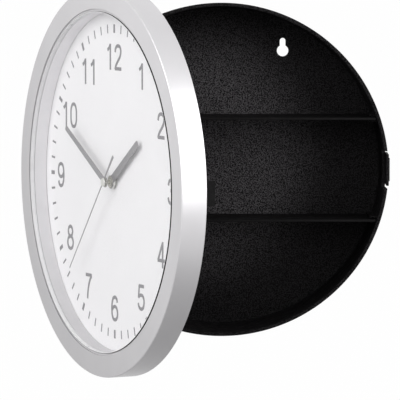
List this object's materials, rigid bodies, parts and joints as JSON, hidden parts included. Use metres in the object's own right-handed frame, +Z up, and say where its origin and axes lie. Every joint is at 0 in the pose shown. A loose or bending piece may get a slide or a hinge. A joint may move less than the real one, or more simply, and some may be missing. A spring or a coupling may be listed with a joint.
{
  "type": "clock diversion safe",
  "caption": "Round wall clock whose hinged face opens sideways over a black shelved tray that hides small valuables.",
  "frame": {"origin": "middle of the tray's flat back face, where it lies against the wall", "axes": "+Z up, -Y out of the closed clock's face, +X to the right as the clock is seen; the rear face looks along +Y"},
  "size_m": [0.2512, 0.2824, 0.254],
  "materials": {
    "black_plastic": "fine pebble grain, moulded",
    "silver_paint": "satin silver paint over moulded plastic",
    "clear_lens": "clear, polished",
    "grey_plastic": "satin light grey",
    "dial_face": "matt white card, printed grey numerals",
    "hand_grey": "satin grey lacquer",
    "steel": "zinc plated",
    "brass": "turned",
    "rubber": "matt",
    "case_plastic": "fine spark texture",
    "white_plastic": "natural acetal",
    "yellow_plastic": "acetal",
    "coil_copper": "enamelled copper wire",
    "board_green": "solder resist",
    "battery_wrap": "plain printed foil sleeve"
  },
  "bodies": {
    "safe_body": {"back_case": "black_plastic", "upper_shelf": "black_plastic", "lower_shelf": "black_plastic", "hinge_pin": "steel"},
    "latch": {"latch_tongue": "black_plastic"},
    "door": {"bezel_ring": "silver_paint", "lens": "clear_lens", "dial_spacer": "grey_plastic", "dial": "dial_face", "door_back": "black_plastic", "bezel_screw_1": "steel", "bezel_screw_2": "steel", "bezel_screw_3": "steel", "bezel_screw_4": "steel", "bezel_screw_5": "steel", "bezel_screw_6": "steel", "lock_nut": "brass", "nut_washer": "brass", "rubber_washer": "rubber", "movement_base": "case_plastic", "movement_cover": "case_plastic", "battery": "battery_wrap", "battery_contact_positive": "steel", "battery_contact_negative": "steel", "circuit_board": "board_green", "train_plate": "white_plastic", "stator": "steel", "coil": "coil_copper"},
    "second_train": {"second_hand": "hand_grey", "second_wheel": "white_plastic"},
    "intermediate": {"intermediate_wheel": "white_plastic"},
    "rotor_body": {"rotor": "steel"},
    "third": {"third_wheel": "yellow_plastic"},
    "centre": {"centre_wheel": "white_plastic"},
    "minute_train": {"minute_hand": "hand_grey", "cannon_pinion": "brass", "clutch_spring": "steel"},
    "minute_gear": {"minute_wheel": "white_plastic"},
    "hour_train": {"hour_hand": "hand_grey", "hour_wheel": "white_plastic"},
    "knob": {"setting_knob": "white_plastic"}
  },
  "joints": [
    {"name": "door_swing", "type": "hinge", "parent": "safe_body", "child": "door", "pos_m": [-0.1185, -0.055, 0], "axis": [0, 0, -1], "range_deg": [-64, 41]},
    {"name": "latch_flex", "type": "hinge", "parent": "safe_body", "child": "latch", "pos_m": [0.1132, -0.02815, 0], "axis": [0, 0, 1], "range_deg": [-4, 0], "stiffness_Nm_per_rad": 0.6},
    {"name": "second_spin", "type": "hinge", "parent": "door", "child": "second_train", "pos_m": [-0.08089, -0.1685, 0], "axis": [0.8988, 0.4384, 0], "continuous": true},
    {"name": "intermediate_spin", "type": "hinge", "parent": "door", "child": "intermediate", "pos_m": [-0.07679, -0.17691, 0.0054], "axis": [0.8988, 0.4384, 0], "continuous": true},
    {"name": "rotor_spin", "type": "hinge", "parent": "door", "child": "rotor_body", "pos_m": [-0.07311, -0.18446, 0.0054], "axis": [0.8988, 0.4384, 0], "continuous": true},
    {"name": "third_spin", "type": "hinge", "parent": "door", "child": "third", "pos_m": [-0.0855, -0.15905, 0.00607], "axis": [0.8988, 0.4384, 0], "continuous": true},
    {"name": "centre_spin", "type": "hinge", "parent": "door", "child": "centre", "pos_m": [-0.08089, -0.1685, 0], "axis": [0.8988, 0.4384, 0], "continuous": true},
    {"name": "minute_spin", "type": "hinge", "parent": "door", "child": "minute_train", "pos_m": [-0.08089, -0.1685, 0], "axis": [0.8988, 0.4384, 0], "continuous": true},
    {"name": "minute_gear_spin", "type": "hinge", "parent": "door", "child": "minute_gear", "pos_m": [-0.08089, -0.1685, 0.012], "axis": [0.8988, 0.4384, 0], "continuous": true},
    {"name": "hour_spin", "type": "hinge", "parent": "door", "child": "hour_train", "pos_m": [-0.08089, -0.1685, 0], "axis": [0.8988, 0.4384, 0], "continuous": true},
    {"name": "knob_spin", "type": "hinge", "parent": "door", "child": "knob", "pos_m": [-0.08427, -0.16157, 0.02119], "axis": [0.8988, 0.4384, 0], "continuous": true}
  ],
  "couplings": [
    {"joint": "intermediate_spin", "follows": "second_spin", "ratio": -5},
    {"joint": "rotor_spin", "follows": "second_spin", "ratio": 30},
    {"joint": "third_spin", "follows": "second_spin", "ratio": -0.125},
    {"joint": "centre_spin", "follows": "second_spin", "ratio": 0.016667},
    {"joint": "minute_gear_spin", "follows": "minute_spin", "ratio": -0.33333},
    {"joint": "hour_spin", "follows": "minute_spin", "ratio": 0.083333},
    {"joint": "knob_spin", "follows": "minute_spin", "ratio": 1}
  ]
}
